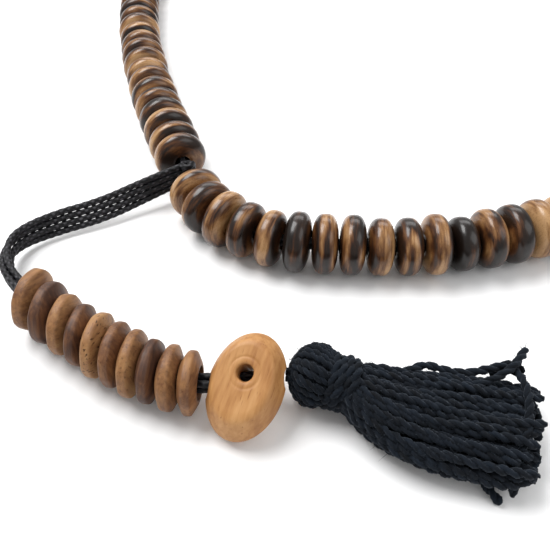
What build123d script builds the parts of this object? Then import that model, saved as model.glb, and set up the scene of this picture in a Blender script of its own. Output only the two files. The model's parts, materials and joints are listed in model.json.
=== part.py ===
from build123d import *
from math import acos, atan2, cos, degrees, pi, radians, sin, tan
import os

# A mala of 108 wooden beads that lies flat on a table, with a corded tail that carries ten
# sliding counters, a drilled wooden disc and a cotton tassel. Millimetres, +Z up. The origin
# is on the table, below the middle of the whole piece. The tail leaves towards -X and -Y.

# ---- Driving dimensions ----
bead_diameter = 8.0
bead_thickness = 3.35
bead_rim_radius = 1.2          # of the rounded rim; the faces are domed to meet it
bead_bore_radius = 1.15
cord_diameter = 0.88
cord_spacing = 0.97            # centre to centre of two cords that lie side by side
cord_height = bead_diameter / 2
front_room = 4.4               # bare cord from the knot's flex point to the first front bead
left_room = 1.4                # bare cord from the last left bead to the knot's flex point
back_room = 2.0                # bare cord at the open end of the back run
front_cord_start = 2.0         # the knot fills the cords' gap from its flex point to here
knot_length = 1.5
knot_width = 1.3
knot_corner_radius = 0.5
flex_gap = 0.1                 # each run's cords stop this far from a flex point

front_beads = 22               # on the front run, and again on the back run
side_beads = 32                # on the right run, and again on the left run
named_left_beads = 6           # beads beside the knot on the left run that have their own node

# Thickness, diameter and lean of each counter, from the free end of the cord to the disc. The
# lean is how far, in degrees, its axis has turned from the cord: the counters lie sheared.
counter_sizes = [
    (2.85, 7.7, 26), (2.7, 7.7, 26), (2.5, 7.4, 25), (2.35, 7.4, 24), (2.35, 7.8, 21),
    (2.3, 7.6, 19), (2.25, 7.8, 17), (2.2, 7.4, 15), (2.25, 7.5, 11), (2.2, 7.1, 8),
]
counter_gap = 0.12
counter_bore_radius = 1.95
counter_face_share = 0.6       # flat face radius as a share of the counter's radius
counter_rim_share = 0.36       # rim thickness as a share of the counter's thickness
counter_fillet_share = 0.12    # rim fillet as a share of the counter's thickness

disc_centre = Vector(-32.6, -75.2, 4.55)
disc_half_width = 4.3
disc_half_height = 6.0
disc_thickness = 5.0
disc_rim_fillet = 1.9
disc_lean = 31.0               # slope of the face, in degrees from the table
disc_turn = -22.0              # heading of the disc's short axis, in degrees from +X
disc_eye_radius = 1.0
disc_eye_offset = 1.3          # the eye is above the middle of the face
disc_bore_radius = 1.38
disc_clearance = 0.6           # between the last counter and the disc
disc_from_cord_end = 4.2       # from the middle of the bore to the end of the tail cords

tassel_pivot = Vector(-27.9, -74.5, 5.0)
tassel_head_centre = Vector(-24.9, -73.4, 3.65)
tassel_heading = -16.0
head_half_length = 2.6
head_radius = 3.45
neck_start = 2.0               # these lengths run along the tassel from the head's centre
neck_end = 4.6
neck_radius = 2.75
neck_fillet = 0.5
neck_drop = 0.15               # the skirt starts this much lower than the neck
skirt_end = 23.5
skirt_end_half_width = 6.7
skirt_end_half_height = 2.9
skirt_end_height = 3.0
skirt_middle_swell = 0.4       # the skirt is this much wider halfway than a straight cone
skirt_middle_half_height = 3.1
hanger_radius = 0.9
hanger_gap = 0.1               # between the end of the tail cords and the hanger

# ---- Routes, as points chosen by hand ----
# Half of the loop, from the knot to the far side. Turned half a turn about loop_centre it
# gives the other half. The flex point cuts it between a front run and a side run.
loop_centre = Vector(0, 14.5, cord_height)
front_points = [
    (-43.0, -35.6), (-39.5, -45.2), (-29.6, -51.8), (-7.5, -53.1), (17.5, -46.0), (31.5, -38.5),
]
side_points = [
    (31.5, -38.5), (44.1, -31.75), (60.0, -12.5), (57.0, 18.5), (51.1, 42.5), (43.0, 64.6),
]

# The middle of the tail's four cords. They leave the knot stacked upright, as a band that
# sags to the table, and turn into a two-by-two bundle before the first counter.
tail_points = [
    (-43.4, -36.9, 4.0), (-48.3, -39.3, 3.1), (-54.5, -42.9, 2.1), (-60.7, -45.6, 1.95),
    (-65.2, -49.2, 2.2), (-65.3, -54.0, 3.1), (-63.0, -58.5, 3.75), (-55.15, -65.5, 3.9),
    (-48.5, -70.0, 3.9), (-42.1, -73.4, 3.9), (-37.1, -74.8, 4.05), (-28.6, -74.55, 5.0),
]
# At each of those points: how far each pair of cords has rolled over, and the pairs' spacing.
upright = (0, 2 * cord_spacing)
bundled = (90, cord_spacing)
tail_twist = [upright] * 4 + [(25, 1.7), (60, 1.25)] + [bundled] * 6


def arc_radii(points):
    """The radius of each corner of a route, as large as its two runs allow."""
    places = [Vector(*point) for point in points]
    radii = []
    for before, corner, after in zip(places, places[1:], places[2:]):
        turn = radians((corner - before).get_angle(after - corner))
        shorter_run = min((corner - before).length, (after - corner).length)
        radii.append(0.45 * shorter_run / tan(turn / 2))
    return radii


def at_height(points, height):
    """The same plan points at one height."""
    return [(point[0], point[1], height) for point in points]


def half_turned(points):
    """The plan points turned half a turn about the middle of the loop."""
    return [(2 * loop_centre.X - x, 2 * loop_centre.Y - y) for x, y in points]


def route_wire(points):
    """The rounded route through the points."""
    with BuildLine() as route:
        FilletPolyline(*points, radius=arc_radii(points))
    return route.wires()[0]


def cross_plane(wire, distance):
    """A plane across the route, its Z along the route and its X as near up as can be."""
    along = wire.tangent_at(distance, PositionMode.LENGTH)
    upward = Vector(0, 0, 1) - along * along.Z
    return Plane(wire.position_at(distance, PositionMode.LENGTH), upward, along)


def cord_solid(points, name):
    """A round cord along the points, checked against its section times its length."""
    with BuildPart() as cord:
        with BuildLine() as route:
            FilletPolyline(*points, radius=arc_radii(points))
        path = route.wires()[0]
        with BuildSketch(cross_plane(path, 0)):
            Circle(cord_diameter / 2)
        sweep(path=path)
    expected = pi * (cord_diameter / 2) ** 2 * path.length
    print(name, "length", round(path.length, 2), "volume share", round(cord.part.volume / expected, 4),
          "radii", [round(radius, 1) for radius in arc_radii(points)])
    return cord.part


def save(part, name):
    """Label a finished piece and write its STEP file."""
    part.label = name
    export_step(part, f"parts/{name}.step")


os.makedirs("parts", exist_ok=True)

# ---- Loop beads ----
# One rounded wooden rondelle: two domed faces, a round rim tangent to them, and a bore.
bead_half = bead_thickness / 2
rim_centre = bead_diameter / 2 - bead_rim_radius
squares = rim_centre ** 2 + bead_half ** 2 - bead_rim_radius ** 2
dome_radius = squares / (2 * (bead_half - bead_rim_radius))
dome_centre = dome_radius - bead_half
dome_start = degrees(atan2(dome_centre, rim_centre))
dome_end = degrees(acos(bead_bore_radius / dome_radius))
with BuildPart() as bead_blank:
    with BuildSketch(Plane.XZ):
        with BuildLine():
            top = CenterArc((0, -dome_centre), dome_radius, dome_start, dome_end - dome_start)
            bottom = CenterArc((0, dome_centre), dome_radius, -dome_end, dome_end - dome_start)
            CenterArc((rim_centre, 0), bead_rim_radius, -dome_start, 2 * dome_start)
            Line(top @ 1, bottom @ 0)
        make_face()
    revolve(axis=Axis.Z)


def bead_planes(wire, count, start, end):
    """Evenly spaced planes for the beads of one run, between two bare ends."""
    pitch = (wire.length - start - end) / count
    return [cross_plane(wire, start + pitch * (index + 0.5)) for index in range(count)]


def save_beads(planes, name):
    """Beads on the given planes, as separate solids in one node."""
    with BuildPart() as beads:
        with Locations(*[plane.location for plane in planes]):
            add(bead_blank.part)
    save(beads.part, name)


front_wire = route_wire(at_height(front_points, cord_height))
right_wire = route_wire(at_height(side_points, cord_height))
back_wire = route_wire(at_height(half_turned(front_points), cord_height))
left_wire = route_wire(at_height(half_turned(side_points), cord_height))

front_planes = bead_planes(front_wire, front_beads, front_room, 0)
right_planes = bead_planes(right_wire, side_beads, 0, 0)
back_planes = bead_planes(back_wire, front_beads, 0, back_room)
left_planes = bead_planes(left_wire, side_beads, 0, left_room)

for number, plane in enumerate(front_planes, start=1):
    save_beads([plane], f"front_bead_{number:02d}")
for number, plane in enumerate(reversed(left_planes[-named_left_beads:]), start=1):
    save_beads([plane], f"left_bead_{number:02d}")
save_beads(right_planes, "right_bead_run")
save_beads(back_planes, "back_bead_run")
save_beads(left_planes[:-named_left_beads], "left_bead_run")


# ---- Cords inside the beads: two strands, one above the other, cut at each flex point ----
def shortened(points, start_cut, end_cut):
    """The plan points with a little taken off the first and the last run."""
    first, second = Vector(*points[0]), Vector(*points[1])
    last, previous = Vector(*points[-1]), Vector(*points[-2])
    start = first + (second - first).normalized() * start_cut
    end = last + (previous - last).normalized() * end_cut
    return [(start.X, start.Y)] + list(points[1:-1]) + [(end.X, end.Y)]


cord_runs = {
    "front_cord": shortened(front_points, front_cord_start, flex_gap),
    "right_cord": shortened(side_points, flex_gap, flex_gap),
    "back_cord": shortened(half_turned(front_points), flex_gap, flex_gap),
    "left_cord": shortened(half_turned(side_points), flex_gap, flex_gap),
}
for name, points in cord_runs.items():
    with BuildPart() as strands:
        for offset in (-cord_spacing / 2, cord_spacing / 2):
            add(cord_solid(at_height(points, cord_height + offset), name))
    save(strands.part, name)

# ---- Knot that binds the loop's cords and lets the tail out ----
tail_start = Vector(*tail_points[0])
tail_heading = (Vector(*tail_points[1]) - tail_start).normalized()
level_heading = Vector(tail_heading.X, tail_heading.Y, 0).normalized()
with BuildPart() as junction_knot:
    knot_middle = tail_start - level_heading * (knot_length / 2 + cord_diameter / 4)
    with BuildSketch(Plane(knot_middle - Vector(0, 0, 2 * cord_spacing), level_heading, (0, 0, 1))):
        RectangleRounded(knot_length, knot_width, knot_corner_radius)
    extrude(amount=4 * cord_spacing)
save(junction_knot.part, "junction_knot")


# ---- Tail cords ----
def tail_strand_points(pair, side):
    """One cord's own route: pair is -1 below or +1 above, side is -1 or +1 within the pair."""
    places = [Vector(*point) for point in tail_points]
    strand = []
    for index, (place, (roll, pair_spacing)) in enumerate(zip(places, tail_twist)):
        before = places[max(index - 1, 0)]
        after = places[min(index + 1, len(places) - 1)]
        along = Vector(after.X - before.X, after.Y - before.Y, 0).normalized()
        sideways = Vector(-along.Y, along.X, 0)
        across = side * cord_spacing / 2 * sin(radians(roll))
        upwards = pair * pair_spacing / 2 + side * cord_spacing / 2 * cos(radians(roll))
        moved = place + sideways * across + Vector(0, 0, upwards)
        strand.append((moved.X, moved.Y, moved.Z))
    return strand


for number, (pair, side) in enumerate([(-1, -1), (-1, 1), (1, -1), (1, 1)], start=1):
    points = tail_strand_points(pair, side)
    save(cord_solid(points, f"tail_cord_{number}"), f"tail_cord_{number}")

# ---- Counters ----
tail_wire = route_wire(tail_points)
disc_short_axis = Vector(cos(radians(disc_turn)), sin(radians(disc_turn)), 0)
disc_long_axis = Vector(-disc_short_axis.Y * cos(radians(disc_lean)),
                        disc_short_axis.X * cos(radians(disc_lean)), sin(radians(disc_lean)))
disc_plane = Plane(disc_centre, disc_short_axis, disc_short_axis.cross(disc_long_axis))

bore_middle = tail_wire.length - disc_from_cord_end
counter_places = []
counter_end = bore_middle - disc_half_width - disc_clearance
for thickness, _, lean in reversed(counter_sizes):
    half_step = (thickness + counter_gap) / 2 / cos(radians(lean))
    counter_places.insert(0, counter_end - half_step)
    counter_end -= 2 * half_step



def counter_blank(thickness, diameter):
    """One bevelled counter about the Z axis: flat faces, sloped shoulders and a blunt rim."""
    half = thickness / 2
    half_rim = half * counter_rim_share
    radius = diameter / 2
    flat = radius * counter_face_share
    with BuildPart() as blank:
        with BuildSketch(Plane.XZ):
            with BuildLine():
                Polyline((counter_bore_radius, half), (flat, half), (radius, half_rim), (radius, -half_rim),
                         (flat, -half), (counter_bore_radius, -half), close=True)
            make_face()
        revolve(axis=Axis.Z)
        fillet(blank.edges().group_by(SortBy.LENGTH)[-1], radius=thickness * counter_fillet_share)
    return blank.part


for index, (thickness, diameter, lean) in enumerate(counter_sizes):
    cord_plane = cross_plane(tail_wire, counter_places[index])
    axis = Vector(cord_plane.z_dir.X, cord_plane.z_dir.Y, 0).normalized().rotate(Axis.Z, lean)
    plane = Plane(cord_plane.origin, (0, 0, 1), axis)
    with BuildPart() as counter:
        with Locations(plane.location):
            add(counter_blank(thickness, diameter))
    save(counter.part, f"counter_{index + 1:02d}")
    print("counter", index + 1, [round(value, 3) for value in plane.origin], "along",
          [round(value, 4) for value in plane.z_dir])

# ---- Disc: an oval lens with a bore for the cords and an eye through its face ----
with BuildPart() as disc:
    with BuildSketch(disc_plane.offset(-disc_thickness / 2)):
        Ellipse(disc_half_width, disc_half_height)
    extrude(amount=disc_thickness)
    outer_rims = disc.edges().filter_by(GeomType.ELLIPSE)
    fillet(outer_rims, radius=disc_rim_fillet)
    with BuildSketch(disc_plane.offset(-disc_thickness / 2)):
        with Locations((0, disc_eye_offset)):
            Circle(disc_eye_radius)
    extrude(amount=disc_thickness, mode=Mode.SUBTRACT)
    bore_plane = cross_plane(tail_wire, bore_middle)
    with BuildSketch(bore_plane.offset(-disc_half_height)):
        Circle(disc_bore_radius)
    extrude(amount=2 * disc_half_height, mode=Mode.SUBTRACT)
save(disc.part, "disc")
print("disc bore", [round(value, 3) for value in bore_plane.origin], "along",
      [round(value, 4) for value in bore_plane.z_dir])

# ---- Tassel ----
tassel_along = Vector(cos(radians(tassel_heading)), sin(radians(tassel_heading)), 0)
tassel_across = Vector(-tassel_along.Y, tassel_along.X, 0)


def tassel_plane(distance, height):
    """A plane across the tassel, with its Y up."""
    level = Vector(tassel_head_centre.X, tassel_head_centre.Y, height)
    return Plane(level + tassel_along * distance, tassel_across * -1, tassel_along)


hanger_start = tassel_pivot + Vector(hanger_gap, 0, 0)
hanger_along = (tassel_head_centre - hanger_start).normalized()
hanger_upward = Vector(0, 0, 1) - hanger_along * hanger_along.Z
hanger_plane = Plane(hanger_start, hanger_upward, hanger_along)
hanger_length = (tassel_head_centre - hanger_start).length

with BuildPart() as tassel_head:
    with BuildSketch(Plane(tassel_head_centre, tassel_along, tassel_across)):
        Ellipse(head_half_length, head_radius)
        with Locations((0, -head_radius)):
            Rectangle(4 * head_radius, 2 * head_radius, mode=Mode.SUBTRACT)
    revolve(axis=Axis(tassel_head_centre, tassel_along))
    split(bisect_by=tassel_plane(neck_start, tassel_head_centre.Z), keep=Keep.BOTTOM)
    with BuildSketch(hanger_plane):
        Circle(hanger_radius)
    extrude(amount=hanger_length, mode=Mode.SUBTRACT)
save(tassel_head.part, "tassel_head")

with BuildPart() as tassel_hanger:
    with BuildSketch(hanger_plane):
        Circle(hanger_radius)
    extrude(amount=hanger_length)
save(tassel_hanger.part, "tassel_hanger")

with BuildPart() as tassel_neck_tie:
    with BuildSketch(tassel_plane(neck_start, tassel_head_centre.Z)):
        Circle(neck_radius)
    extrude(amount=neck_end - neck_start)
    fillet(tassel_neck_tie.edges().filter_by(GeomType.CIRCLE), radius=neck_fillet)
save(tassel_neck_tie.part, "tassel_neck_tie")

skirt_middle = (neck_end + skirt_end) / 2
skirt_middle_height = (tassel_head_centre.Z + skirt_end_height) / 2
skirt_middle_half_width = (neck_radius + skirt_end_half_width) / 2 + skirt_middle_swell
with BuildPart() as tassel_skirt:
    with BuildSketch(tassel_plane(neck_end, tassel_head_centre.Z - neck_drop)):
        Circle(neck_radius)
    with BuildSketch(tassel_plane(skirt_middle, skirt_middle_height)):
        Ellipse(skirt_middle_half_width, skirt_middle_half_height)
    with BuildSketch(tassel_plane(skirt_end, skirt_end_height)):
        Ellipse(skirt_end_half_width, skirt_end_half_height)
    loft()
save(tassel_skirt.part, "tassel_skirt")

print("front run", round(front_wire.length, 3), "side run", round(right_wire.length, 3))
print("flex points", front_points[0], front_points[-1], half_turned(front_points[:1]),
      half_turned(front_points[-1:]))
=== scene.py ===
import json
from math import cos, pi, radians, sin
from random import Random

import bpy
import numpy as np
from mathutils import Matrix, Vector


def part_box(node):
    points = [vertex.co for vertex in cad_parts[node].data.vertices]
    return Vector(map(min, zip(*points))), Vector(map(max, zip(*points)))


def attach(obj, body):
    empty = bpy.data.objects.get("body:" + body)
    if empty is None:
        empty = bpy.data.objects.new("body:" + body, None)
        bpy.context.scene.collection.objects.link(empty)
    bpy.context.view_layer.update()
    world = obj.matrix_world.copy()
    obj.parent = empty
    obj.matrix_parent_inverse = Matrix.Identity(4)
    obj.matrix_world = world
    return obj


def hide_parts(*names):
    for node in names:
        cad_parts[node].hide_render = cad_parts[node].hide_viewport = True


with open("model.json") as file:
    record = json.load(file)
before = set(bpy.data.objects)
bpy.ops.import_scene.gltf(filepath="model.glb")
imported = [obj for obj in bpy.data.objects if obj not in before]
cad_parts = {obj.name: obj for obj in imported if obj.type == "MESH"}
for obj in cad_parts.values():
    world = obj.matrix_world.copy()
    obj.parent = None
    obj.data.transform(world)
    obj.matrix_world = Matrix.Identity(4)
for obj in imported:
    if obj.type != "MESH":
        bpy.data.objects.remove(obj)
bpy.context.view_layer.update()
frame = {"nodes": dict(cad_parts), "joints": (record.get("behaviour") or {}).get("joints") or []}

# A mala of striped wooden beads with a tail of four waxed cords, ten counters, a disc and a
# tassel. Metres in the CAD frame. Lengths in the small helpers below are millimetres where
# their names end in _mm, and the material coordinates in "place" are millimetres too.
MM = 0.001
nodes = frame["nodes"]
joints = {joint["name"]: joint for joint in frame["joints"]}


# ---------------------------------------------------------------- camera and colour
camera_place = Vector((-0.0295, -0.1155, 0.063648))
camera_pitch = radians(46)             # below the horizon, looking along +Y
camera_lens = 42.67

camera_data = bpy.data.cameras.new("camera")
camera_data.lens = camera_lens
camera_data.sensor_width = 36
camera_data.clip_start = 0.005
camera_data.clip_end = 20
camera = bpy.data.objects.new("camera", camera_data)
camera.location = camera_place
camera.rotation_euler = (pi / 2 - camera_pitch, 0, 0)
bpy.context.scene.collection.objects.link(camera)
bpy.context.scene.camera = camera
bpy.context.scene.view_settings.view_transform = "Standard"


# ---------------------------------------------------------------- material helpers
class Shader:
    """A node material with short calls for the nodes that it needs."""

    def __init__(self, name):
        self.material = bpy.data.materials.new(name)
        self.material.use_nodes = True
        self.tree = self.material.node_tree
        self.surface = self.tree.nodes["Principled BSDF"]

    def node(self, kind, **settings):
        made = self.tree.nodes.new(kind)
        for key, value in settings.items():
            setattr(made, key, value)
        return made

    def link(self, source, target):
        self.tree.links.new(source, target)

    def attribute(self, name):
        return self.node("ShaderNodeAttribute", attribute_name=name)

    def stretched(self, source, scale):
        """The vector source with each axis scaled."""
        mapping = self.node("ShaderNodeMapping")
        mapping.inputs["Scale"].default_value = scale
        self.link(source, mapping.inputs["Vector"])
        return mapping.outputs["Vector"]

    def noise(self, vector, scale, detail=2.0, rough=0.5, distortion=0.0, seed=None):
        made = self.node("ShaderNodeTexNoise", noise_dimensions="4D")
        made.inputs["Scale"].default_value = scale
        made.inputs["Detail"].default_value = detail
        made.inputs["Roughness"].default_value = rough
        made.inputs["Distortion"].default_value = distortion
        self.link(vector, made.inputs["Vector"])
        if seed is not None:
            self.link(seed, made.inputs["W"])
        return made.outputs["Fac"]

    def math(self, operation, first, second):
        made = self.node("ShaderNodeMath", operation=operation)
        for socket, value in zip(made.inputs, (first, second)):
            if isinstance(value, (int, float)):
                socket.default_value = value
            else:
                self.link(value, socket)
        return made.outputs["Value"]

    def ramp(self, source, stops, interpolation="LINEAR"):
        made = self.node("ShaderNodeValToRGB")
        made.color_ramp.interpolation = interpolation
        elements = made.color_ramp.elements
        while len(elements) < len(stops):
            elements.new(0.5)
        for element, (position, colour) in zip(elements, stops):
            element.position = position
            element.color = (*colour, 1)
        self.link(source, made.inputs["Fac"])
        return made.outputs["Color"]

    def mix(self, share, first, second, blend="MIX"):
        made = self.node("ShaderNodeMix", data_type="RGBA", blend_type=blend)
        sockets = (made.inputs["Factor"], share), (made.inputs[6], first), (made.inputs[7], second)
        for socket, value in sockets:
            if isinstance(value, (int, float)):
                socket.default_value = value
            elif isinstance(value, tuple):
                socket.default_value = (*value, 1)
            else:
                self.link(value, socket)
        return made.outputs[2]

    def bump(self, height, strength, distance):
        made = self.node("ShaderNodeBump")
        made.inputs["Strength"].default_value = strength
        made.inputs["Distance"].default_value = distance
        self.link(height, made.inputs["Height"])
        self.link(made.outputs["Normal"], self.surface.inputs["Normal"])

    def set(self, **values):
        """Constant values on the shader's own sockets."""
        for name, value in values.items():
            self.surface.inputs[name.replace("_", " ")].default_value = value

    def colour(self, source):
        self.link(source, self.surface.inputs["Base Color"])

    def roughness(self, source, low, high):
        made = self.node("ShaderNodeMapRange")
        made.inputs["To Min"].default_value = low
        made.inputs["To Max"].default_value = high
        self.link(source, made.inputs["Value"])
        self.link(made.outputs["Result"], self.surface.inputs["Roughness"])


def cord_material():
    """Black waxed braid, with painted light: painted shade makes the grooves black, and a painted glint makes
    the crests a little grey.
    """
    shader = Shader("waxed_cord")
    place = shader.attribute("place").outputs["Vector"]
    relief = shader.attribute("tone").outputs["Fac"]
    wax = shader.noise(place, 1.3, detail=3, rough=0.6)
    fibres = shader.noise(shader.stretched(place, (14, 14, 4)), 1.0, detail=2)
    # The braid's height times a noise: painted shade in the grooves and a painted glint on the crests.
    crest_glint_and_groove_shade = shader.math("MULTIPLY", relief, wax)
    dark = shader.ramp(crest_glint_and_groove_shade, [(0.15, (0.002, 0.002, 0.0026)), (0.38, (0.0075, 0.0075, 0.0095)),
                              (0.58, (0.060, 0.058, 0.066))])
    shader.colour(dark)
    shader.roughness(wax, 0.34, 0.55)
    shader.bump(fibres, 0.35, 0.00006)
    shader.set(Specular_IOR_Level=0.2)
    return shader.material


def loop_cord_material():
    """The same cord where it runs inside the beads, on the plain CAD strands."""
    shader = Shader("loop_cord")
    place = shader.node("ShaderNodeNewGeometry").outputs["Position"]
    twill = shader.noise(shader.stretched(place, (1600, 1600, 1600)), 1.0, detail=3, rough=0.6)
    shader.colour(shader.ramp(twill, [(0.35, (0.004, 0.004, 0.005)), (0.75, (0.03, 0.03, 0.034))]))
    shader.roughness(twill, 0.4, 0.65)
    shader.set(Specular_IOR_Level=0.2)
    shader.bump(twill, 0.6, 0.0001)
    return shader.material


def striped_wood_material():
    """Polished dark wood whose layers lie across the bead's axis, as tan and black bands."""
    shader = Shader("striped_wood")
    place = shader.attribute("place").outputs["Vector"]
    seed = shader.attribute("seed").outputs["Fac"]
    tone = shader.attribute("tone").outputs["Fac"]
    layers = shader.noise(shader.stretched(place, (0.10, 0.16, 0.62)), 1.0, detail=1.5, rough=0.45,
                          distortion=0.35, seed=seed)
    fine = shader.noise(shader.stretched(place, (0.35, 0.5, 4.2)), 1.0, detail=3, rough=0.6, seed=seed)
    pores = shader.noise(shader.stretched(place, (1.6, 6.5, 9.0)), 1.0, detail=2, rough=0.6, seed=seed)
    level = shader.math("ADD", layers, shader.math("MULTIPLY", shader.math("SUBTRACT", fine, 0.5), 0.34))
    level = shader.math("ADD", level, shader.math("MULTIPLY", shader.math("SUBTRACT", tone, 0.5), 0.34))
    bands = shader.ramp(level, [
        (0.36, (0.008, 0.0048, 0.0035)), (0.47, (0.022, 0.0095, 0.005)), (0.51, (0.062, 0.023, 0.0085)),
        (0.56, (0.130, 0.054, 0.018)), (0.62, (0.26, 0.130, 0.049)), (0.71, (0.43, 0.250, 0.115)),
    ])
    streaks = shader.ramp(pores, [(0.30, (0.45, 0.40, 0.36)), (0.52, (1, 1, 1))])
    shader.colour(shader.mix(0.55, bands, streaks, blend="MULTIPLY"))
    shader.roughness(fine, 0.22, 0.38)
    shader.bump(pores, 0.12, 0.00005)
    shader.set(Specular_IOR_Level=0.32, Coat_Weight=0.20, Coat_Roughness=0.10)
    return shader.material


def counter_wood_material():
    """Satin brown wood with fine streaks across the face and small dark flecks."""
    shader = Shader("counter_wood")
    place = shader.attribute("place").outputs["Vector"]
    seed = shader.attribute("seed").outputs["Fac"]
    tone = shader.attribute("tone").outputs["Fac"]
    flecked = shader.attribute("fleck").outputs["Fac"]
    grain = shader.noise(shader.stretched(place, (0.22, 2.3, 2.6)), 1.0, detail=4, rough=0.6,
                         distortion=0.25, seed=seed)
    cloud = shader.noise(shader.stretched(place, (0.28, 0.5, 0.5)), 1.0, detail=1.5, seed=seed)
    flecks = shader.noise(shader.stretched(place, (1.3, 3.6, 3.6)), 1.0, detail=1.5, rough=0.4, seed=seed)
    level = shader.math("ADD", shader.math("MULTIPLY", grain, 0.42), shader.math("MULTIPLY", cloud, 0.4))
    level = shader.math("ADD", level, shader.math("MULTIPLY", tone, 0.42))
    wood = shader.ramp(level, [
        (0.36, (0.030, 0.013, 0.0085)), (0.48, (0.070, 0.029, 0.015)), (0.60, (0.150, 0.064, 0.026)),
        (0.72, (0.260, 0.125, 0.048)), (0.86, (0.36, 0.195, 0.078)),
    ])
    spots = shader.ramp(flecks, [(0.60, (1, 1, 1)), (0.68, (0.20, 0.12, 0.08))])
    shader.colour(shader.mix(flecked, wood, spots, blend="MULTIPLY"))
    shader.roughness(grain, 0.42, 0.60)
    shader.bump(grain, 0.30, 0.00009)
    shader.set(Specular_IOR_Level=0.32)
    return shader.material


def disc_wood_material():
    """Honey-coloured wood with short upright pores and soft darker clouds."""
    shader = Shader("disc_wood")
    place = shader.attribute("place").outputs["Vector"]
    grain = shader.noise(shader.stretched(place, (1.5, 0.22, 1.5)), 1.0, detail=3, rough=0.55, distortion=0.2)
    cloud = shader.noise(shader.stretched(place, (0.30, 0.12, 0.30)), 1.0, detail=2)
    dashes = shader.noise(shader.stretched(place, (4.2, 0.55, 4.2)), 1.0, detail=1.5, rough=0.5)
    level = shader.math("ADD", shader.math("MULTIPLY", grain, 0.55), shader.math("MULTIPLY", cloud, 0.45))
    wood = shader.ramp(level, [
        (0.34, (0.27, 0.110, 0.032)), (0.46, (0.37, 0.170, 0.054)), (0.56, (0.45, 0.225, 0.080)),
        (0.70, (0.52, 0.285, 0.115)),
    ])
    pores = shader.ramp(dashes, [(0.26, (0.52, 0.40, 0.30)), (0.37, (1, 1, 1))])
    shader.colour(shader.mix(0.8, wood, pores, blend="MULTIPLY"))
    shader.roughness(grain, 0.42, 0.58)
    shader.bump(dashes, 0.25, 0.00006)
    shader.set(Specular_IOR_Level=0.35)
    return shader.material


def yarn_material(name, darkest, lightest):
    """Cotton yarn: matt, with fine fibres along each ply."""
    shader = Shader(name)
    place = shader.attribute("place").outputs["Vector"]
    seed = shader.attribute("seed").outputs["Fac"]
    fibres = shader.noise(shader.stretched(place, (9, 9, 1.6)), 1.0, detail=3, rough=0.6, seed=seed)
    shade = shader.noise(shader.stretched(place, (0.3, 0.3, 0.16)), 1.0, detail=2, seed=seed)
    level = shader.math("ADD", shader.math("MULTIPLY", fibres, 0.45), shader.math("MULTIPLY", shade, 0.55))
    shader.colour(shader.ramp(level, [(0.38, darkest), (0.64, lightest)]))
    shader.bump(fibres, 0.5, 0.00008)
    shader.set(Roughness=0.88, Sheen_Weight=0.10, Sheen_Roughness=0.5, Specular_IOR_Level=0.18)
    shader.set(Sheen_Tint=(0.60, 0.70, 0.85, 1))
    return shader.material


# ---------------------------------------------------------------- mesh helpers
class Builder:
    """Collects grids of vertices with their material coordinates, and makes one mesh piece."""

    def __init__(self):
        self.vertices, self.faces, self.count = [], [], 0
        self.values = {"place": [], "seed": [], "tone": [], "fleck": []}

    def add(self, vertices, faces, place, seed=0.0, tone=0.5, fleck=0.0):
        self.vertices.append(vertices)
        self.faces.extend([tuple(index + self.count for index in face) for face in faces])
        self.count += len(vertices)
        self.values["place"].append(place)
        for key, value in (("seed", seed), ("tone", tone), ("fleck", fleck)):
            self.values[key].append(np.broadcast_to(np.asarray(value, float), (len(vertices),)))

    def piece(self, name, material, body):
        mesh = bpy.data.meshes.new(name)
        mesh.from_pydata(np.concatenate(self.vertices).tolist(), [], self.faces)
        for key, arrays in self.values.items():
            kind, field = ("FLOAT_VECTOR", "vector") if key == "place" else ("FLOAT", "value")
            layer = mesh.attributes.new(key, kind, "POINT")
            layer.data.foreach_set(field, np.concatenate(arrays).astype(np.float32).ravel())
        mesh.materials.append(material)
        mesh.shade_smooth()
        made = bpy.data.objects.new(name, mesh)
        bpy.context.scene.collection.objects.link(made)
        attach(made, body)
        return made


def grid_faces(rings, sides, rings_close=False):
    """Quads between neighbouring rings of vertices, each ring closed on itself."""
    faces = []
    for ring in range(rings if rings_close else rings - 1):
        above = (ring + 1) % rings
        for side in range(sides):
            beside = (side + 1) % sides
            faces.append((ring * sides + side, ring * sides + beside,
                          above * sides + beside, above * sides + side))
    return faces


def cap_faces(rings, sides):
    """One flat face on each end of a tube of rings."""
    return [tuple(reversed(range(sides))), tuple(range((rings - 1) * sides, rings * sides))]


def frames_along(points):
    """The distance, tangent and two steady cross directions at each point of a line."""
    points = np.asarray(points, float)
    steps = np.linalg.norm(np.diff(points, axis=0), axis=1)
    distance = np.concatenate([[0], np.cumsum(steps)])
    tangents = np.gradient(points, axis=0)
    tangents /= np.linalg.norm(tangents, axis=1)[:, None]
    across = np.cross(tangents[0], (0, 0, 1))
    if np.linalg.norm(across) < 0.1:
        across = np.cross(tangents[0], (1, 0, 0))
    normals = []
    for tangent in tangents:
        across = across - tangent * (across @ tangent)
        across = across / np.linalg.norm(across)
        normals.append(across)
    normals = np.array(normals)
    return distance, tangents, normals, np.cross(tangents, normals)


def smooth_line(name, points, resolution):
    """The points read from a NURBS spline that has the given points as its control points."""
    data = bpy.data.curves.new(name, "CURVE")
    data.dimensions = "3D"
    data.resolution_u = resolution
    spline = data.splines.new("NURBS")
    spline.points.add(len(points) - 1)
    for control, point in zip(spline.points, points):
        control.co = (*point, 1)
    spline.order_u = 3
    spline.use_endpoint_u = True
    curve = bpy.data.objects.new(name, data)
    mesh = bpy.data.meshes.new_from_object(curve)
    line = np.array([vertex.co for vertex in mesh.vertices], float)
    bpy.data.meshes.remove(mesh)
    bpy.data.objects.remove(curve)
    bpy.data.curves.remove(data)
    return line


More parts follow.
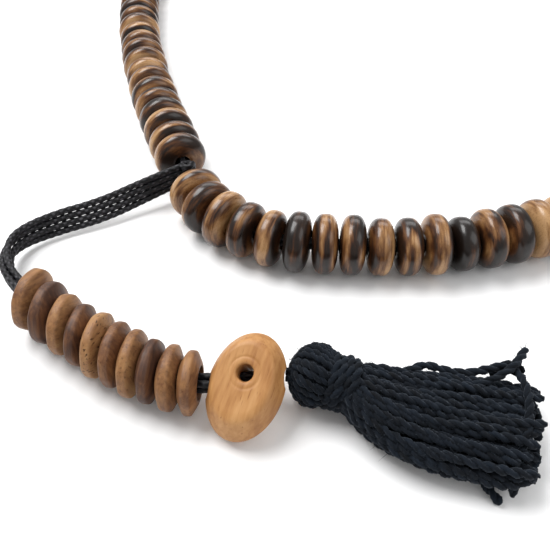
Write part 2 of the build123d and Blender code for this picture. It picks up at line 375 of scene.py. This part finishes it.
def braid_height(distance_mm, angle, pitch_mm, strands_each_way):
    """Relief from 0 to 1 of a round braid: two families of helical yarns that pass over and under."""
    turns = angle / (2 * pi) * strands_each_way
    right, left = turns + distance_mm / pitch_mm, turns - distance_mm / pitch_mm
    right_over = (np.floor(right) + np.floor(left)) % 2 == 0
    over = np.where(right_over, right, left) % 1.0
    under = np.where(right_over, left, right) % 1.0
    crown = np.sqrt(np.clip(1 - (2 * over - 1) ** 2, 0, 1))
    dive = np.clip(1 - (2 * under - 1) ** 2, 0, 1) ** 0.35
    return crown * dive


def braided_tube(builder, line, radius, relief, pitch_mm=1.15, strands=4, sides=24, seed=0.0):
    """A round braided cord along a line, with the braid in its mesh."""
    distance, _, normals, binormals = frames_along(line)
    angles = np.arange(sides) * 2 * pi / sides
    spread_distance, spread_angle = np.meshgrid(distance / MM, angles, indexing="ij")
    height = braid_height(spread_distance, spread_angle, pitch_mm, strands)
    reach = radius - relief + relief * height
    directions = (np.cos(angles)[None, :, None] * normals[:, None, :]
                  + np.sin(angles)[None, :, None] * binormals[:, None, :])
    vertices = (line[:, None, :] + reach[:, :, None] * directions).reshape(-1, 3)
    place = np.stack([np.cos(spread_angle) * radius / MM, np.sin(spread_angle) * radius / MM,
                      spread_distance], axis=-1).reshape(-1, 3)
    rings = len(line)
    faces = grid_faces(rings, sides) + cap_faces(rings, sides)
    # The braid's height goes in as tone; the cord material paints shade in the grooves and a glint on the
    # crests from it.
    builder.add(vertices, faces, place, seed=seed, tone=height.ravel())


def plied_yarn(builder, line, yarn_radius, twist_pitch, phase, seed, sides=7, radius_profile=None,
               ply_share=0.67):
    """Two plies twisted round each other along a line. The profile scales the yarn along its length."""
    distance, _, normals, binormals = frames_along(line)
    profile = np.ones(len(line)) if radius_profile is None else radius_profile
    ply_radius = ply_share * yarn_radius * profile
    ply_offset = (1 - ply_share) * yarn_radius * profile
    angles = np.arange(sides) * 2 * pi / sides
    for ply in range(2):
        turn = 2 * pi * distance / twist_pitch + ply * pi + phase
        centres = line + ply_offset[:, None] * (np.cos(turn)[:, None] * normals
                                                + np.sin(turn)[:, None] * binormals)
        spun = turn[:, None] + angles[None, :]
        directions = (np.cos(spun)[:, :, None] * normals[:, None, :]
                      + np.sin(spun)[:, :, None] * binormals[:, None, :])
        vertices = (centres[:, None, :] + ply_radius[:, None, None] * directions).reshape(-1, 3)
        own_angle = np.broadcast_to(angles, spun.shape)
        along = np.broadcast_to(distance[:, None] / MM, spun.shape)
        place = np.stack([np.cos(own_angle) * 0.3, np.sin(own_angle) * 0.3, along], axis=-1).reshape(-1, 3)
        faces = grid_faces(len(line), sides) + cap_faces(len(line), sides)
        builder.add(vertices, faces, place, seed=seed + ply * 3.1)


def fuzz(builder, lines, reach_mm, count, chance):
    """Fine loose fibres that stand off yarns of the given radius."""
    sides, steps, thick = 3, 4, 0.035
    for _ in range(count):
        line = lines[chance.randrange(len(lines))]
        root = line[chance.randrange(2, len(line) - 1)] / MM
        heading = np.array([chance.gauss(0, 1), chance.gauss(0, 1), abs(chance.gauss(0.3, 0.8))])
        heading /= np.linalg.norm(heading)
        curl = np.array([chance.gauss(0, 0.5), chance.gauss(0, 0.5), chance.gauss(0, 0.3)])
        length = chance.uniform(0.35, 1.0)
        shares = np.linspace(0, 1, steps)[:, None]
        fibre = root + heading * reach_mm * 0.7 + (heading * shares + curl * shares ** 2) * length
        fibre[:, 2] = np.maximum(fibre[:, 2], 0.1)
        _, _, normals, binormals = frames_along(fibre)
        angles = np.arange(sides) * 2 * pi / sides
        ring = (np.cos(angles)[None, :, None] * normals[:, None, :]
                + np.sin(angles)[None, :, None] * binormals[:, None, :])
        vertices = (fibre[:, None, :] + thick * (1.1 - shares)[:, :, None] * ring).reshape(-1, 3)
        builder.add(vertices * MM, grid_faces(steps, sides) + cap_faces(steps, sides), vertices,
                    seed=chance.uniform(0, 9))


# ---------------------------------------------------------------- solids of the frame
def solids_of(node_name):
    """The centre and axis of each separate round solid in a CAD node, in the node's order."""
    mesh = nodes[node_name].data
    places = np.array([vertex.co for vertex in mesh.vertices], float)
    keys = {}
    merged = np.array([keys.setdefault(tuple(key), len(keys)) for key in np.round(places / 1e-6).astype(int)])
    parent = list(range(len(keys)))

    def root(item):
        while parent[item] != item:
            parent[item] = parent[parent[item]]
            item = parent[item]
        return item

    for edge in mesh.edges:
        first, second = (root(merged[index]) for index in edge.vertices)
        if first != second:
            parent[first] = second
    groups = {}
    for vertex, item in enumerate(merged):
        groups.setdefault(root(item), []).append(vertex)
    found = []
    for members in groups.values():
        points = np.unique(np.round(places[members] / 1e-6).astype(int), axis=0) * 1e-6
        centre = (points.min(axis=0) + points.max(axis=0)) / 2
        spread = points - points.mean(axis=0)
        _, vectors = np.linalg.eigh(spread.T @ spread)
        found.append((centre, vectors[:, 0]))
    return found


def placed(local_mm, centre, axis, spin):
    """Local millimetre points, whose Z is the axis, moved to their place in metres."""
    axis = Vector(axis).normalized()
    upward = Vector((0, 0, 1)) - axis * axis.z
    side = upward.normalized()
    turn = Matrix((side, axis.cross(side), axis)).transposed() @ Matrix.Rotation(spin, 3, "Z")
    return local_mm @ np.array(turn).T * MM + np.asarray(centre, float)


# ---------------------------------------------------------------- tail cords
# The middle of the four cords, from the knot to the disc. They leave the knot as a flat band on
# its edge, which leans back as it sags, and turn into a two-by-two bundle before the counters.
cord_diameter = 0.00094
cord_spacing = 0.00097
band_spacing = 0.00090                 # the soft cords lie pressed together in the band
tail_points = [
    (-0.0434, -0.0369, 0.0040), (-0.0483, -0.0393, 0.0031), (-0.0545, -0.0429, 0.0021),
    (-0.0607, -0.0456, 0.00195), (-0.0652, -0.0492, 0.0022), (-0.0653, -0.0540, 0.0031),
    (-0.0630, -0.0585, 0.00375), (-0.05515, -0.0655, 0.0039), (-0.0485, -0.0700, 0.0039),
    (-0.0421, -0.0734, 0.0039), (-0.0371, -0.0748, 0.00405), (-0.0286, -0.07455, 0.0050),
]
# At each of those points: how far the band leans back and each pair of cords has rolled over,
# both in degrees, and the pairs' spacing.
bundled = (0, 90, cord_spacing)
tail_band = [
    (5, 0, 2 * band_spacing), (25, 0, 2 * band_spacing), (40, 0, 2 * band_spacing),
    (36, 4, 2 * band_spacing), (20, 25, 0.0016), (6, 60, 0.0012),
] + [bundled] * 6


def tail_strand_points(pair, side):
    """One cord's own route: pair is -1 below or +1 above, side is -1 or +1 within the pair."""
    places = [Vector(point) for point in tail_points]
    strand = []
    for index, (place, (lean, roll, pair_spacing)) in enumerate(zip(places, tail_band)):
        before = places[max(index - 1, 0)]
        after = places[min(index + 1, len(places) - 1)]
        along = Vector((after.x - before.x, after.y - before.y, 0)).normalized()
        sideways = Vector((-along.y, along.x, 0))
        up_the_band = Vector((0, 0, cos(radians(lean)))) - sideways * sin(radians(lean))
        off_the_band = sideways * cos(radians(lean)) + Vector((0, 0, sin(radians(lean))))
        within_pair = side * (cord_spacing if roll == 90 else band_spacing) / 2
        upwards = pair * pair_spacing / 2 + within_pair * cos(radians(roll))
        strand.append(place + up_the_band * upwards + off_the_band * within_pair * sin(radians(roll)))
    return strand


cord_black = cord_material()
loop_cord_black = loop_cord_material()
cord_relief = 0.00011
for number, (pair, side) in enumerate([(-1, -1), (-1, 1), (1, -1), (1, 1)], start=1):
    route = tail_strand_points(pair, side)
    line = smooth_line("tail_route", route, 56)
    builder = Builder()
    braided_tube(builder, line, cord_diameter / 2, cord_relief, seed=number)
    tail_cord = builder.piece(f"tail_cord_{number}_braid", cord_black, "tail")
    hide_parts(f"tail_cord_{number}")

for node_name in ("front_cord", "right_cord", "back_cord", "left_cord"):
    nodes[node_name].data.materials.clear()
    nodes[node_name].data.materials.append(loop_cord_black)


# ---------------------------------------------------------------- knot
def make_knot():
    """Turns of cord wound round the loop's cords, one above the other."""
    low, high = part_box("junction_knot")
    centre = (low + high) / 2
    wrap_radius, wrap_cord, turns = 0.00078, 0.00050, 4
    height = high.z - low.z - wrap_cord
    steps = 48 * turns
    line = np.array([
        (centre.x + wrap_radius * cos(2 * pi * turns * step / steps),
         centre.y + wrap_radius * sin(2 * pi * turns * step / steps),
         low.z + wrap_cord / 2 + height * step / steps) for step in range(steps + 1)])
    builder = Builder()
    braided_tube(builder, line, wrap_cord, cord_relief, pitch_mm=1.15)
    knot = builder.piece("knot_wraps", cord_black, "front_run")
    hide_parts("junction_knot")


make_knot()


# ---------------------------------------------------------------- loop beads
bead_bore_mm = 1.15
bead_segments = 40
bead_fullness = 2.75            # 2 is an ellipse, and more is a fuller side
bead_fill_share = 0.985         # of the pitch to the next bead
bead_thickest_mm = 3.70
bead_thickness_spread = 0.05


def rondelle_profile(radius, thickness, bore, fullness, steps=20):
    """A closed section as (radius, height) points: full sides, a rounded rim and a bore."""
    outer = []
    for step in range(steps + 1):
        angle = pi / 2 - pi * step / steps
        reach = radius * abs(cos(angle)) ** (2 / fullness)
        height = thickness / 2 * abs(sin(angle)) ** (2 / fullness) * (1 if angle >= 0 else -1)
        if reach > bore + 0.18:
            outer.append((reach, height))
    top = outer[0][1]
    lip = 0.12
    bore_wall = [(bore + lip / 3, -top + lip / 3), (bore, -top + lip), (bore, 0), (bore, top - lip),
                 (bore + lip / 3, top - lip / 3)]
    return outer + bore_wall


def add_bead(builder, centre, axis, radius, thickness, tone, chance):
    """One polished bead, a little uneven, with its own stripes."""
    profile = rondelle_profile(radius, thickness, bead_bore_mm, bead_fullness)
    lobes, lobe_turn = chance.uniform(0.004, 0.014), chance.uniform(0, 2 * pi)
    local = []
    for reach, height in profile:
        for segment in range(bead_segments):
            angle = 2 * pi * segment / bead_segments
            swell = 1 + lobes * cos(2 * angle + lobe_turn) if reach > bead_bore_mm + 0.2 else 1
            local.append((reach * swell * cos(angle), reach * swell * sin(angle), height))
    local = np.array(local)
    seed = chance.uniform(0, 60)
    spin = chance.uniform(0, 2 * pi)
    lean = Vector((chance.gauss(0, 0.007), chance.gauss(0, 0.007), chance.gauss(0, 0.007)))
    vertices = placed(local, centre, Vector(axis) + lean, spin)
    faces = grid_faces(len(profile), bead_segments, rings_close=True)
    builder.add(vertices, faces, local, seed=seed, tone=tone)


def run_of(body):
    """The bead nodes of a run that have their own body, in order along the cord."""
    return sorted(name for name in nodes if name.startswith(f"{body}_bead_") and name[-2:].isdigit())


# Diameter in millimetres and tone (0 nearly black, 1 tan) of the beads from the knot onwards.
front_bead_looks = [
    (7.9, 0.66), (8.0, 0.60), (8.1, 0.62), (7.9, 0.52), (7.75, 0.62), (8.2, 0.04), (8.1, 0.62), (8.1, 0.48),
    (7.7, 0.62), (7.8, 0.50), (8.2, 0.60), (7.45, 0.10), (8.1, 0.62), (8.1, 0.46), (8.2, 0.78),
]
left_bead_looks = [(8.0, 0.64), (8.0, 0.46), (8.1, 0.68), (8.0, 0.52), (7.9, 0.66), (8.0, 0.58)]
striped_wood = striped_wood_material()
# A bead this close to another run's bead sits at a corner that bends, and is made thinner.
corner_reach_mm, corner_bead_thickness = 4.6, 3.3


def make_beads():
    """A detailed bead for each CAD bead, as one piece for each CAD node."""
    groups = {"front": run_of("front"), "left": run_of("left")}
    looks = dict(zip(groups["front"], front_bead_looks))
    looks.update(zip(groups["left"], left_bead_looks))
    named = [(name, name) for name in groups["front"] + groups["left"]]
    grouped = [(f"{run}_bead_run", f"{run}_run") for run in ("right", "back", "left")]
    solids = {name: solids_of(name) for name, _ in named + grouped}
    every = np.array([centre for found in solids.values() for centre, _ in found])
    chance = Random(108)
    for name, body in named + grouped:
        builder = Builder()
        own_run = name.split("_bead_")[0]
        strangers = np.array([centre for other, found in solids.items() if not other.startswith(own_run)
                              for centre, _ in found])
        for centre, axis in solids[name]:
            pitch = np.sort(np.linalg.norm(every - centre, axis=1))[1] / MM
            fullest = min(pitch * bead_fill_share, bead_thickest_mm)
            thickness = fullest - bead_thickness_spread * chance.random()
            if np.min(np.linalg.norm(strangers - centre, axis=1)) / MM < corner_reach_mm:
                thickness = corner_bead_thickness
            diameter = 8 + chance.uniform(-0.3, 0.2)
            tone = chance.choice([0.2, 0.4, 0.5, 0.55, 0.6, 0.66, 0.7])
            diameter, tone = looks.get(name, (diameter, tone))
            resting = np.array((centre[0], centre[1], diameter / 2 * MM))
            add_bead(builder, resting, axis, diameter / 2, thickness, tone, chance)
        bead = builder.piece(f"{name}_wood", striped_wood, body)
        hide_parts(name)


make_beads()


# ---------------------------------------------------------------- counters
counter_segments = 72
counter_face_share = 0.64
counter_rim_share = 0.40
counter_edge_soft, counter_bore_soft = 0.27, 0.08      # how far the rounding reaches from a corner
# Thickness and diameter in millimetres, tone, and share of dark flecks, from the free end.
counter_looks = [
    (2.85, 7.7, 0.62, 0.35), (2.70, 7.7, 0.20, 0.1), (2.50, 7.4, 0.70, 0.3), (2.35, 7.4, 0.26, 0.15),
    (2.35, 7.8, 0.84, 1.0), (2.30, 7.6, 0.44, 0.4), (2.25, 7.8, 0.66, 0.5), (2.20, 7.4, 0.14, 0.1),
    (2.25, 7.5, 0.52, 0.3), (2.20, 7.1, 0.60, 0.4),
]
counter_wood = counter_wood_material()


def counter_profile(radius, thickness, bore):
    """A closed section with a small flat face, a sloping bevel and a blunt rim, edges softened."""
    half = thickness / 2
    flat, rim = radius * counter_face_share, half * counter_rim_share
    corners = [(bore, half), (flat, half), (radius, rim), (radius, -rim), (flat, -half), (bore, -half)]
    section = []
    for index, corner in enumerate(corners):
        before, after = corners[index - 1], corners[(index + 1) % len(corners)]
        soft = counter_bore_soft if corner[0] == bore else counter_edge_soft
        here = np.array(corner)
        towards = [np.array(other) - here for other in (before, after)]
        starts = [here + way / np.linalg.norm(way) * min(soft, 0.45 * np.linalg.norm(way)) for way in towards]
        for share in (0, 0.25, 0.5, 0.75, 1):
            section.append((1 - share) ** 2 * starts[0] + 2 * share * (1 - share) * here
                           + share ** 2 * starts[1])
    return section


def bore_radius_mm(name, centre, axis):
    """The radius of the bore of a CAD ring, as its nearest vertex to the axis gives it."""
    offsets = np.array([vertex.co for vertex in nodes[name].data.vertices], float) - centre
    return np.linalg.norm(offsets - np.outer(offsets @ axis, axis), axis=1).min() / MM


def make_counters():
    """Ten hand-cut counters: their rims are a little polygonal and no two are alike."""
    chance = Random(21)
    for number, (thickness, diameter, tone, fleck) in enumerate(counter_looks, start=1):
        name = f"counter_{number:02d}"
        centre, axis = solids_of(name)[0]
        radius = diameter / 2
        bore = bore_radius_mm(name, centre, axis)
        section = counter_profile(radius, thickness, bore)
        sides, turn = chance.choice((7, 8, 9, 10)), chance.uniform(0, 2 * pi)
        waves = [(chance.uniform(0, 2 * pi), chance.uniform(0.004, 0.012)) for _ in range(3)]
        local = []
        for reach, height in section:
            outward = max(0, (reach - bore) / (radius - bore))
            for segment in range(counter_segments):
                angle = 2 * pi * segment / counter_segments
                facet = abs(((angle + turn) * sides / (2 * pi)) % 1 - 0.5) * 2
                shape = 0.022 * (facet ** 2 - 0.6)
                for order, (phase, size) in enumerate(waves, start=2):
                    shape += size * cos(order * angle + phase)
                grown = reach * (1 + outward * shape)
                rise = height + outward * 0.05 * cos(angle * 2 + waves[0][0])
                local.append((grown * cos(angle), grown * sin(angle), rise))
        local = np.array(local)
        builder = Builder()
        vertices = placed(local, centre, axis, chance.uniform(0, 2 * pi))
        faces = grid_faces(len(section), counter_segments, rings_close=True)
        builder.add(vertices, faces, local, seed=chance.uniform(0, 50), tone=tone, fleck=fleck)
        counter = builder.piece(f"{name}_wood", counter_wood, name)
        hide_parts(name)


make_counters()


# ---------------------------------------------------------------- disc
disc_half_width, disc_half_height, disc_thickness = 4.3, 6.0, 5.0
disc_lean, disc_turn = radians(31), radians(-22)
disc_eye_radius, disc_eye_offset, disc_bore_radius = 0.95, 1.3, 1.38
disc_eye_taper = 0.6            # the eye's radius at the back, as a share of the front's
disc_groove_radius, disc_groove_width, disc_groove_depth = 1.70, 0.14, 0.06
disc_wood = disc_wood_material()


def disc_section(side):
    """Points from the eye out to the rim as (share of the way, height) on one face."""
    half = disc_thickness / 2
    eye = [(0.0, 0.70), (0.0, 0.20), (0.02, 0.08), (0.06, 0.02)]
    face = [(0.10 + 0.02 * step, 0.0) for step in range(23)]
    shoulder = [(0.58, 0.03), (0.64, 0.10), (0.69, 0.22), (0.735, 0.42), (0.78, 0.70), (0.83, 1.03),
                (0.88, 1.38), (0.925, 1.72), (0.965, 2.05), (0.99, 2.30)]
    return [(share, side * (half - drop)) for share, drop in eye + face + shoulder]


def make_disc():
    """An oval lens with an eye through its face and a bore across it for the cords."""
    segments = 96
    section = disc_section(1) + [(1.0, 0)] + list(reversed(disc_section(-1)))
    local = []
    for share, height in section:
        for segment in range(segments):
            angle = 2 * pi * segment / segments
            opening = disc_eye_radius * (1 if height > 0 else disc_eye_taper)
            eye = np.array((opening * cos(angle), disc_eye_offset + opening * sin(angle)))
            rim = np.array((disc_half_width * cos(angle), disc_half_height * sin(angle)))
            x, y = eye * (1 - share) + rim * share
            from_eye = np.hypot(x, y - disc_eye_offset)
            groove = disc_groove_depth * np.exp(-((from_eye - disc_groove_radius) / disc_groove_width) ** 2)
            local.append((x, y, height - groove * np.sign(height)))
    local = np.array(local)
    short = Vector((cos(disc_turn), sin(disc_turn), 0))
    long = Vector((-short.y * cos(disc_lean), short.x * cos(disc_lean), sin(disc_lean)))
    low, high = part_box("disc")
    turn = np.array(Matrix((short, long, short.cross(long))).transposed())
    builder = Builder()
    vertices = local @ turn.T * MM + np.array((low + high) / 2)
    builder.add(vertices, grid_faces(len(section), segments, rings_close=True), local)
    disc = builder.piece("disc_wood", disc_wood, "disc")

    bore = joints["disc_turn"]
    axis = Vector(bore["axis"]).normalized()
    reach = np.linspace(-0.008, 0.008, 3)
    line = np.array([np.array(bore["pos_m"]) + step * np.array(axis) for step in reach])
    cutter_builder = Builder()
    _, _, normals, binormals = frames_along(line)
    angles = np.arange(48) * 2 * pi / 48
    rings = (line[:, None, :] + disc_bore_radius * MM * (np.cos(angles)[None, :, None] * normals[:, None, :]
             + np.sin(angles)[None, :, None] * binormals[:, None, :])).reshape(-1, 3)
    cutter_builder.add(rings, grid_faces(3, 48) + cap_faces(3, 48), rings / MM)
    cutter = cutter_builder.piece("bore_cutter", disc_wood, "disc")
    cut = disc.modifiers.new("bore", "BOOLEAN")
    cut.operation = "DIFFERENCE"
    cut.solver = "EXACT"
    cut.object = cutter
    solid = bpy.data.meshes.new_from_object(disc.evaluated_get(bpy.context.evaluated_depsgraph_get()))
    disc.modifiers.clear()
    disc.data = solid
    bpy.data.objects.remove(cutter)
    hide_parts("disc")


make_disc()


# ---------------------------------------------------------------- tassel
tassel_heading = radians(-16)
tassel_along = np.array((cos(tassel_heading), sin(tassel_heading), 0))
tassel_left = np.array((-sin(tassel_heading), cos(tassel_heading), 0))
upward = np.array((0, 0, 1.0))
tie_low, tie_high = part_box("tassel_neck_tie")
neck_middle = np.array((tie_low + tie_high) / 2)       # 3.3 mm past the head's centre
head_centre = neck_middle - 3.3 * MM * tassel_along
navy = yarn_material("tassel_yarn", (0.0007, 0.0010, 0.0018), (0.0062, 0.0104, 0.0175))


def tassel_point(along, left, up):
    """A place on the tassel: along and left from the head's centre, up from the table, in millimetres."""
    level = np.array((head_centre[0], head_centre[1], 0))
    return level + (along * tassel_along + left * tassel_left + up * upward) * MM


def make_head():
    """Yarns laid lengthways over the ball, from the hanging loop down to the neck."""
    chance = Random(5)
    builder = Builder()
    half_length, radius, yarn = 2.75, 3.55, 0.42
    head_back, head_left = 0.2, 0.3
    centre_up = head_centre[2] / MM
    count, steps = 30, 34
    lines = []
    for index in range(count):
        around = 2 * pi * index / count + chance.gauss(0, 0.05)
        line = []
        for step in range(steps):
            share = step / (steps - 1)
            angle = radians(168 - 125 * share)
            skew = around + 0.55 * share
            reach = (radius - yarn * 0.6) * sin(angle) + 0.1 * sin(9 * share + index)
            line.append(tassel_point(half_length * cos(angle) - head_back, head_left + reach * cos(skew),
                                     centre_up + reach * sin(skew)))
        lines.append(np.array(line))
        plied_yarn(builder, lines[-1], yarn * MM, 2.1 * MM, chance.uniform(0, 6), chance.uniform(0, 50))
    core = []
    rings, sides = 14, 24
    for ring in range(rings):
        angle = radians(172 - 132 * ring / (rings - 1))
        for side in range(sides):
            turn = 2 * pi * side / sides
            reach = (radius - 0.6) * sin(angle)
            along = (half_length - 0.35) * cos(angle) - head_back
            core.append(tassel_point(along, head_left + reach * cos(turn), centre_up + reach * sin(turn)))
    core = np.array(core)
    builder.add(core, grid_faces(rings, sides) + cap_faces(rings, sides), core / MM)
    fuzz(builder, lines, yarn, 160, chance)
    head = builder.piece("tassel_head_yarn", navy, "tassel")
    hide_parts("tassel_head")


def make_hanger():
    """The loop of yarn between the disc and the head."""
    low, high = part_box("tassel_hanger")
    builder = Builder()
    start = np.array((low.x, (low.y + high.y) / 2, high.z - 0.9 * MM))
    end = head_centre + 0.5 * MM * upward
    for offset in (-0.42, 0.42):
        side = offset * MM * np.array((0, 1.0, 0.15))
        line = np.array([start + (end - start) * share + side * (1 - 0.3 * share)
                         for share in np.linspace(0, 1, 26)])
        plied_yarn(builder, line, 0.5 * MM, 2.0 * MM, offset * 3, 4 + offset)
    hanger = builder.piece("tassel_hanger_yarn", navy, "tassel")
    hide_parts("tassel_hanger")


def make_neck():
    """Four tight turns of yarn round the neck, leaning a little."""
    chance = Random(9)
    builder = Builder()
    turns, steps = 4, 44 * 4
    first_turn, wrapped_length, lean, yarn = 1.35, 3.0, 0.6, 0.60
    line = []
    for step in range(steps + 1):
        share = step / steps
        angle = 2 * pi * turns * share
        reach = 2.66 + 0.12 * sin(angle * 1.5 + 1)
        along = first_turn + wrapped_length * share + lean * sin(angle)
        line.append(tassel_point(along, reach * cos(angle), neck_middle[2] / MM + reach * sin(angle)))
    line = np.array(line)
    plied_yarn(builder, line, yarn * MM, 2.6 * MM, chance.uniform(0, 6), 12.0, sides=9, ply_share=0.7)
    fuzz(builder, [line], yarn, 60, chance)
    neck = builder.piece("tassel_neck_wraps", navy, "tassel")
    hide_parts("tassel_neck_tie")


skirt_start, skirt_end = 3.4, 23.2
skirt_half_width, skirt_half_height, skirt_centre_height = 6.2, 2.5, 2.95
skirt_left_share = 0.88           # the skirt is a little narrower on its left
skirt_bow, skirt_drift = 1.15, 0.25      # how far the skirt bows and ends to its right
skirt_opening_power = 3.2         # how soon the bunch opens out after the neck
skirt_neck_reach = 2.35
strand_sway = 0.33
strand_radius = 0.53
# Strands that left the bunch, as (along, left, up) in millimetres: one that arches along the far
# side, its frayed end, one that lies across the cut ends, and one that strays to the near side.
stray_strands = [
    [(4.2, 1.8, 5.0), (6.6, 2.0, 5.6), (9.2, 2.0, 5.3), (11.2, 4.2, 5.0), (13.6, 3.9, 4.9), (16.0, 4.2, 4.9),
     (18.8, 5.8, 5.0), (20.7, 7.1, 4.8), (21.9, 6.2, 4.6)],
    [(15.0, 2.0, 4.6), (18.2, 3.4, 5.3), (20.3, 5.4, 5.8), (21.2, 7.2, 5.7), (21.9, 9.2, 5.2)],
    [(18.4, 6.0, 3.6), (20.6, 6.6, 4.8), (21.9, 4.2, 5.6), (22.4, 1.0, 5.8), (22.2, -2.4, 5.2),
     (21.8, -5.2, 3.4), (21.9, -6.9, 1.2)],
    [(12.0, -4.6, 1.8), (16.6, -5.0, 1.5), (18.8, -5.8, 0.9), (20.0, -6.6, 0.65), (21.0, -7.7, 0.6)],
    [(17.0, 1.0, 4.4), (20.4, 1.4, 4.8), (23.0, 2.2, 4.2), (24.2, 1.2, 3.0), (24.0, -0.4, 2.2)],
    [(17.0, -2.0, 4.2), (20.6, -2.4, 4.4), (23.2, -1.8, 3.8), (24.0, -3.2, 2.8), (23.0, -5.0, 2.0)],
]


def skirt_line(radial, around, length, chance, steps=46):
    """One strand's middle: it leaves the neck in a round bunch and fans out to a flat oval."""
    neck_reach = skirt_neck_reach * radial
    sway = [(chance.uniform(0.6, 2.2), chance.uniform(0, 2 * pi), chance.gauss(0, strand_sway))
            for _ in range(4)]
    line = []
    for step in range(steps):
        share = step / (steps - 1)
        opening = 1 - (1 - share) ** skirt_opening_power
        half_width = skirt_half_width * (skirt_left_share if cos(around) > 0 else 1)
        left = (neck_reach + (half_width * radial - neck_reach) * opening) * cos(around)
        left -= skirt_bow * sin(pi * share ** 0.7) + skirt_drift * share
        rise = (neck_reach + (skirt_half_height * radial - neck_reach) * opening) * sin(around)
        middle = neck_middle[2] / MM + (skirt_centre_height - neck_middle[2] / MM) * share
        for index, (rate, phase, size) in enumerate(sway):
            wave = size * share * sin(2 * pi * rate * share + phase)
            if index % 2:
                rise += 0.55 * wave
            else:
                left += wave
        up = max(middle + rise, strand_radius)
        line.append(tassel_point(skirt_start + length * share, left, up))
    return np.array(line)


def make_skirt():
    """The skirt's plied strands and a few that stray."""
    chance = Random(33)
    builder = Builder()
    lines = []
    rings = [(0.12, 4), (0.36, 11), (0.60, 19), (0.80, 27), (0.97, 34)]
    for radial, count in rings:
        for index in range(count):
            around = 2 * pi * (index + chance.uniform(-0.3, 0.3)) / count
            reach = min(radial + chance.gauss(0, 0.035), 1.0)
            length = skirt_end - skirt_start + chance.uniform(-2.2, 0.9)
            lines.append(skirt_line(reach, around, length, chance))
    for route in stray_strands:
        lines.append(smooth_line("stray", [tassel_point(*point) for point in route], 10))
    for line in lines:
        profile = np.linspace(0.92, 1.06, len(line)) + 0.05 * np.sin(np.arange(len(line)) * 1.9)
        profile[-2:] *= (0.85, 0.6)
        plied_yarn(builder, line, strand_radius * MM, chance.uniform(2.5, 3.1) * MM, chance.uniform(0, 6),
                   chance.uniform(0, 60), radius_profile=profile)
    fuzz(builder, lines, strand_radius, 900, chance)
    skirt = builder.piece("tassel_skirt_strands", navy, "tassel")
    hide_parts("tassel_skirt")


make_head()
make_hanger()
make_neck()
make_skirt()


# ---------------------------------------------------------------- floor and light
def floor_material():
    shader = Shader("floor")
    speck = shader.noise(shader.node("ShaderNodeNewGeometry").outputs["Position"], 60, detail=2)
    shader.colour(shader.ramp(speck, [(0.3, (0.88, 0.88, 0.885)), (0.7, (0.90, 0.90, 0.90))]))
    shader.set(Roughness=0.9, Specular_IOR_Level=0.1)
    return shader.material


def make_floor():
    mesh = bpy.data.meshes.new("floor")
    reach = 3.0
    mesh.from_pydata([(-reach, -reach, 0), (reach, -reach, 0), (reach, reach, 0), (-reach, reach, 0)], [],
                     [(0, 1, 2, 3)])
    mesh.materials.append(floor_material())
    floor = bpy.data.objects.new("floor", mesh)
    bpy.context.scene.collection.objects.link(floor)


def area_light(name, place, target, width, height, power, colour=(1, 1, 1)):
    data = bpy.data.lights.new(name, "AREA")
    data.shape = "RECTANGLE"
    data.size = width
    data.size_y = height
    data.energy = power
    data.color = colour
    light = bpy.data.objects.new(name, data)
    light.location = place
    light.rotation_euler = (Vector(target) - Vector(place)).to_track_quat("-Z", "Y").to_euler()
    bpy.context.scene.collection.objects.link(light)


make_floor()
middle = (-0.015, -0.05, 0)
area_light("key", (-0.28, 0.12, 0.50), middle, 0.40, 0.30, 3.9)
area_light("fill", (0.35, -0.20, 0.42), middle, 0.40, 0.40, 1.0)
area_light("back", (0.05, 0.55, 0.40), middle, 0.60, 0.25, 1.6)
world = bpy.data.worlds.new("studio")
world.use_nodes = True
world.node_tree.nodes["Background"].inputs["Color"].default_value = (1, 1, 1, 1)
world.node_tree.nodes["Background"].inputs["Strength"].default_value = 0.50
bpy.context.scene.world = world
